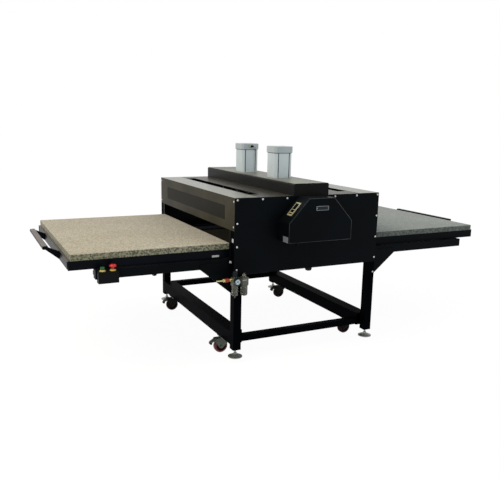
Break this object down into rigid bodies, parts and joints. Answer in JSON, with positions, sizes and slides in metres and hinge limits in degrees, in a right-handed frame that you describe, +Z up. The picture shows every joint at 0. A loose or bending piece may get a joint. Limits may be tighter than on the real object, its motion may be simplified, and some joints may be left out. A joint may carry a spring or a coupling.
{
  "type": "double-station pneumatic heat press",
  "caption": "Pneumatic heat press for shirts: a housing with a heated platen pushed down by air cylinders, and a padded table that slides in from either side.",
  "frame": {"origin": "centre of the bounding box, on the floor under the casters", "axes": "+X along the two tables, from the left table to the right one; -Y towards the control box and the operator; +Z up"},
  "size_m": [2.992, 1.4859, 1.258],
  "materials": {
    "powder_coat": "satin",
    "fascia_coat": "satin",
    "zinc": "satin",
    "bright_steel": "polished",
    "cylinder_alloy": "satin anodised",
    "platen_alloy": "machined",
    "insulation": "matt fibre board",
    "pad": "felt-like",
    "tread": "satin",
    "black_plastic": "matt",
    "frl_alloy": "painted cream",
    "clear_bowl": "clear",
    "brass": "polished",
    "red_sleeve": "gloss",
    "controller": "gloss",
    "green_plastic": "gloss",
    "red_plastic": "gloss",
    "gauge_case": "satin",
    "needle": "matt"
  },
  "bodies": {
    "machine_frame": {"frame_posts": "powder_coat", "frame_rails": "powder_coat", "guide_beams": "powder_coat", "linear_rails": "bright_steel", "front_panel": "powder_coat", "rear_panel": "powder_coat", "side_fascias": "fascia_coat", "top_panels": "fascia_coat", "crosshead_beam": "powder_coat", "guide_bushes": "zinc", "beam_cover": "powder_coat", "cylinder_heads": "cylinder_alloy", "cylinder_barrels": "cylinder_alloy", "control_box": "powder_coat", "temperature_controller": "controller", "valve_block": "black_plastic", "frl_heads": "frl_alloy", "frl_bowls": "clear_bowl", "pressure_gauge": "gauge_case", "inlet_coupler": "brass", "air_lines": "black_plastic", "button_box": "black_plastic", "panel_screws": "zinc", "caster_plates": "zinc"},
    "press_platen": {"heat_platen": "platen_alloy", "platen_insulation": "insulation", "platen_backing": "zinc", "piston_rods": "bright_steel", "guide_rods": "bright_steel"},
    "left_table": {"left_table_frame": "powder_coat", "left_pad": "pad", "left_handle": "powder_coat", "left_carriages": "zinc"},
    "right_table": {"right_table_frame": "powder_coat", "right_pad": "pad", "right_handle": "powder_coat", "right_carriages": "zinc"},
    "regulator_knob_body": {"regulator_knob": "black_plastic"},
    "lubricator_adjuster_body": {"lubricator_adjuster": "black_plastic"},
    "drain_valve_body": {"drain_valve": "brass"},
    "gauge_needle_body": {"gauge_needle": "needle"},
    "coupler_sleeve_body": {"coupler_sleeve": "red_sleeve"},
    "start_button_body": {"start_button": "green_plastic"},
    "stop_button_body": {"stop_button": "red_plastic"},
    "front_left_swivel": {"front_left_caster_fork": "zinc"},
    "front_left_wheel": {"front_left_caster_wheel": "tread"},
    "front_left_brake": {"front_left_caster_pedal": "zinc"},
    "front_left_levelling_foot": {"front_left_foot": "zinc"},
    "rear_left_swivel": {"rear_left_caster_fork": "zinc"},
    "rear_left_wheel": {"rear_left_caster_wheel": "tread"},
    "rear_left_brake": {"rear_left_caster_pedal": "zinc"},
    "rear_left_levelling_foot": {"rear_left_foot": "zinc"},
    "front_right_swivel": {"front_right_caster_fork": "zinc"},
    "front_right_wheel": {"front_right_caster_wheel": "tread"},
    "front_right_brake": {"front_right_caster_pedal": "zinc"},
    "front_right_levelling_foot": {"front_right_foot": "zinc"},
    "rear_right_swivel": {"rear_right_caster_fork": "zinc"},
    "rear_right_wheel": {"rear_right_caster_wheel": "tread"},
    "rear_right_brake": {"rear_right_caster_pedal": "zinc"},
    "rear_right_levelling_foot": {"rear_right_foot": "zinc"}
  },
  "joints": [
    {"name": "platen_slide", "type": "slide", "parent": "machine_frame", "child": "press_platen", "axis": [0, 0, -1], "range_m": [0, 0.0695]},
    {"name": "left_table_slide", "type": "slide", "parent": "machine_frame", "child": "left_table", "axis": [1, 0, 0], "range_m": [0, 0.946]},
    {"name": "right_table_slide", "type": "slide", "parent": "machine_frame", "child": "right_table", "axis": [1, 0, 0], "range_m": [-0.946, 0]},
    {"name": "regulator_knob_turn", "type": "hinge", "parent": "machine_frame", "child": "regulator_knob_body", "pos_m": [-0.512, -0.65825, 0.5613], "axis": [0, 0, 1], "range_deg": [-540, 540]},
    {"name": "lubricator_adjuster_turn", "type": "hinge", "parent": "machine_frame", "child": "lubricator_adjuster_body", "pos_m": [-0.454, -0.65825, 0.552], "axis": [0, 0, 1], "range_deg": [0, 720]},
    {"name": "drain_valve_turn", "type": "hinge", "parent": "machine_frame", "child": "drain_valve_body", "pos_m": [-0.512, -0.65825, 0.4257], "axis": [0, 0, 1], "range_deg": [0, 90]},
    {"name": "gauge_needle_turn", "type": "hinge", "parent": "machine_frame", "child": "gauge_needle_body", "pos_m": [-0.512, -0.69705, 0.522], "axis": [0, 1, 0], "range_deg": [0, 270]},
    {"name": "coupler_sleeve_slide", "type": "slide", "parent": "machine_frame", "child": "coupler_sleeve_body", "axis": [1, 0, 0], "range_m": [0, 0.007], "stiffness_N_per_m": 900, "springref_m": -0.004},
    {"name": "start_button_press", "type": "slide", "parent": "machine_frame", "child": "start_button_body", "axis": [0, 0, -1], "range_m": [0, 0.004], "stiffness_N_per_m": 1200, "springref_m": -0.002},
    {"name": "stop_button_press", "type": "slide", "parent": "machine_frame", "child": "stop_button_body", "axis": [0, 0, -1], "range_m": [0, 0.005], "stiffness_N_per_m": 1500, "springref_m": -0.002},
    {"name": "front_left_swivel_turn", "type": "hinge", "parent": "machine_frame", "child": "front_left_swivel", "pos_m": [-0.46, -0.40925, 0.098], "axis": [0, 0, 1], "continuous": true},
    {"name": "front_left_wheel_roll", "type": "hinge", "parent": "front_left_swivel", "child": "front_left_wheel", "pos_m": [-0.492, -0.40925, 0.044], "axis": [0, 1, 0], "continuous": true},
    {"name": "front_left_brake_press", "type": "hinge", "parent": "front_left_swivel", "child": "front_left_brake", "pos_m": [-0.525, -0.40925, 0.084], "axis": [0, -1, 0], "range_deg": [0, 15]},
    {"name": "front_left_foot_screw", "type": "slide", "parent": "machine_frame", "child": "front_left_levelling_foot", "axis": [0, 0, -1], "range_m": [-0.015, 0.033]},
    {"name": "rear_left_swivel_turn", "type": "hinge", "parent": "machine_frame", "child": "rear_left_swivel", "pos_m": [-0.46, 0.52675, 0.098], "axis": [0, 0, 1], "continuous": true},
    {"name": "rear_left_wheel_roll", "type": "hinge", "parent": "rear_left_swivel", "child": "rear_left_wheel", "pos_m": [-0.492, 0.52675, 0.044], "axis": [0, 1, 0], "continuous": true},
    {"name": "rear_left_brake_press", "type": "hinge", "parent": "rear_left_swivel", "child": "rear_left_brake", "pos_m": [-0.525, 0.52675, 0.084], "axis": [0, -1, 0], "range_deg": [0, 15]},
    {"name": "rear_left_foot_screw", "type": "slide", "parent": "machine_frame", "child": "rear_left_levelling_foot", "axis": [0, 0, -1], "range_m": [-0.015, 0.033]},
    {"name": "front_right_swivel_turn", "type": "hinge", "parent": "machine_frame", "child": "front_right_swivel", "pos_m": [0.46, -0.40925, 0.098], "axis": [0, 0, 1], "continuous": true},
    {"name": "front_right_wheel_roll", "type": "hinge", "parent": "front_right_swivel", "child": "front_right_wheel", "pos_m": [0.428, -0.40925, 0.044], "axis": [0, 1, 0], "continuous": true},
    {"name": "front_right_brake_press", "type": "hinge", "parent": "front_right_swivel", "child": "front_right_brake", "pos_m": [0.395, -0.40925, 0.084], "axis": [0, -1, 0], "range_deg": [0, 15]},
    {"name": "front_right_foot_screw", "type": "slide", "parent": "machine_frame", "child": "front_right_levelling_foot", "axis": [0, 0, -1], "range_m": [-0.015, 0.033]},
    {"name": "rear_right_swivel_turn", "type": "hinge", "parent": "machine_frame", "child": "rear_right_swivel", "pos_m": [0.46, 0.52675, 0.098], "axis": [0, 0, 1], "continuous": true},
    {"name": "rear_right_wheel_roll", "type": "hinge", "parent": "rear_right_swivel", "child": "rear_right_wheel", "pos_m": [0.428, 0.52675, 0.044], "axis": [0, 1, 0], "continuous": true},
    {"name": "rear_right_brake_press", "type": "hinge", "parent": "rear_right_swivel", "child": "rear_right_brake", "pos_m": [0.395, 0.52675, 0.084], "axis": [0, -1, 0], "range_deg": [0, 15]},
    {"name": "rear_right_foot_screw", "type": "slide", "parent": "machine_frame", "child": "rear_right_levelling_foot", "axis": [0, 0, -1], "range_m": [-0.015, 0.033]}
  ]
}
